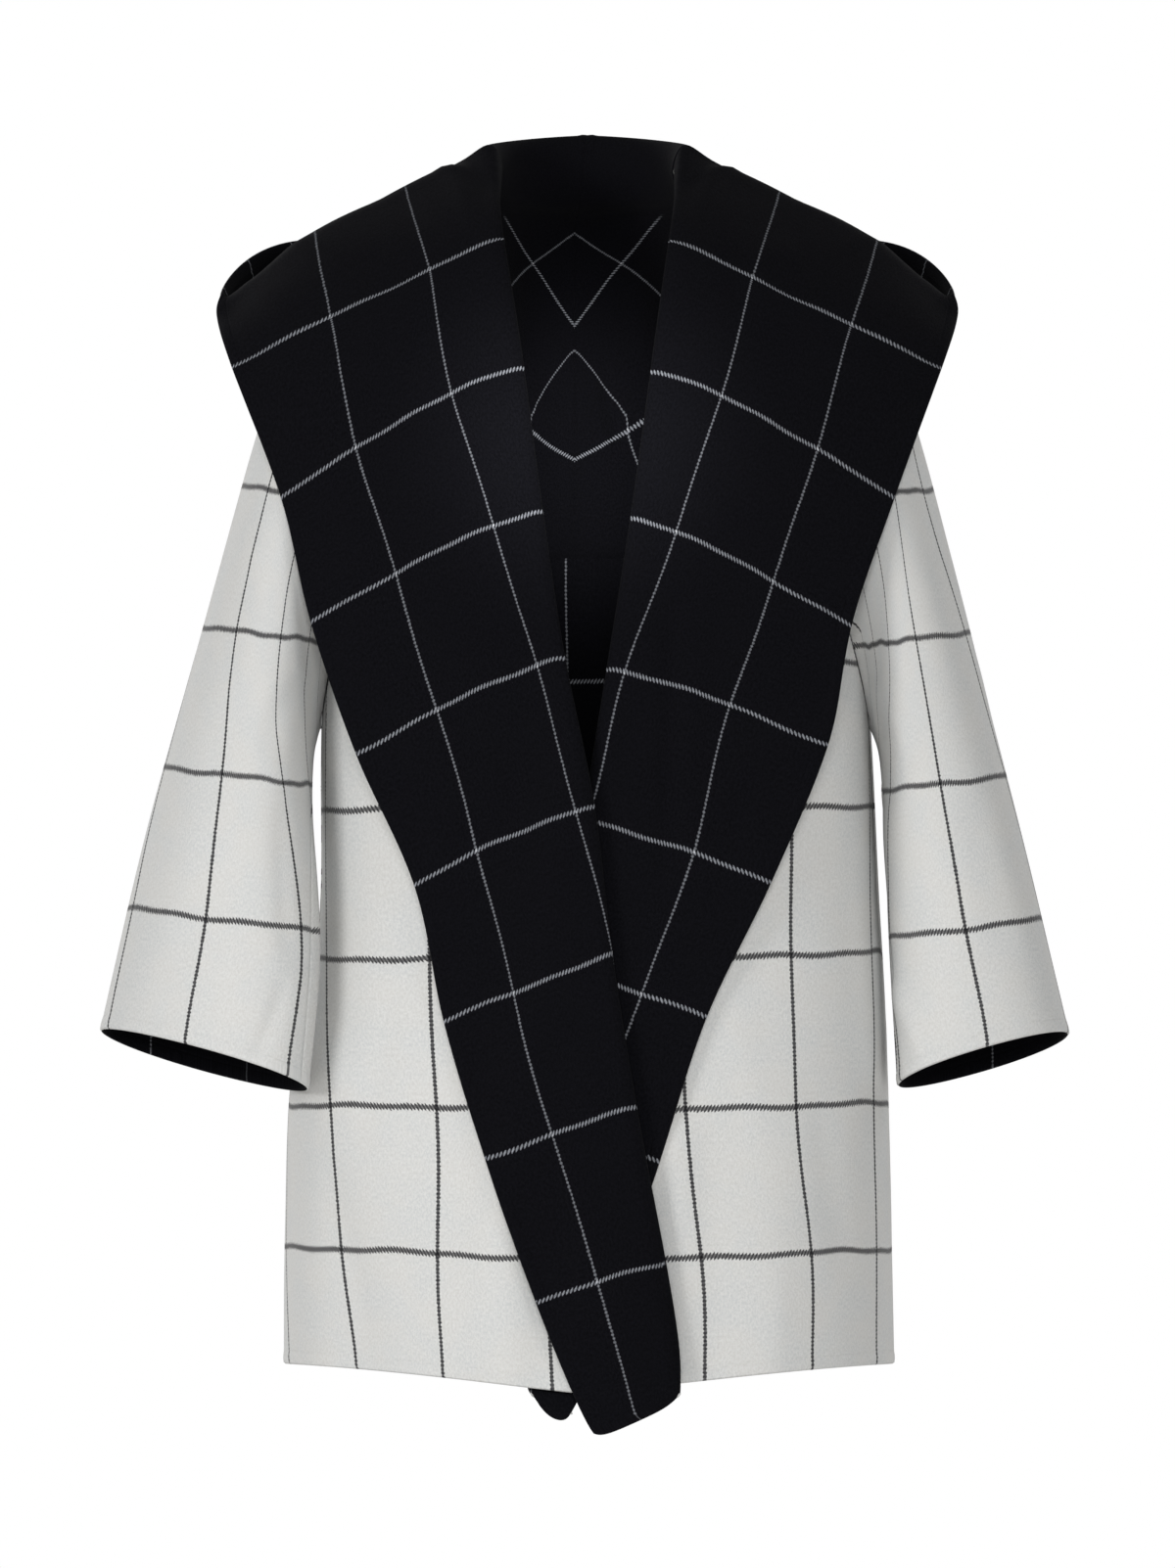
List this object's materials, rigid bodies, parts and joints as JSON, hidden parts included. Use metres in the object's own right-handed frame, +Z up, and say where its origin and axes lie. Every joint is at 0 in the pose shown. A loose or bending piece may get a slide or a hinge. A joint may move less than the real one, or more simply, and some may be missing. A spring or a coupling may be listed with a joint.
{
  "type": "hooded coat",
  "caption": "Hooded wrap coat of double-faced checked wool in its worn, hollow form, with wide folded-out lapels, a hood lying back and wide open sleeves.",
  "frame": {"origin": "base of the neck between the two shoulders that hold the coat", "axes": "+Z up, -Y towards the front, +X towards the wearer's left"},
  "size_m": [0.7433, 0.3693, 0.9957],
  "materials": {
    "ivory_face": "matt brushed double-faced wool, ivory with a charcoal windowpane check",
    "black_face": "matt brushed double-faced wool, black with a white windowpane check"
  },
  "bodies": {
    "root": {"front_right": "ivory_face", "front_left": "ivory_face", "back": "ivory_face", "sleeve_right": "ivory_face", "sleeve_left": "ivory_face", "hood_right": "black_face", "hood_left": "black_face"}
  },
  "joints": []
}
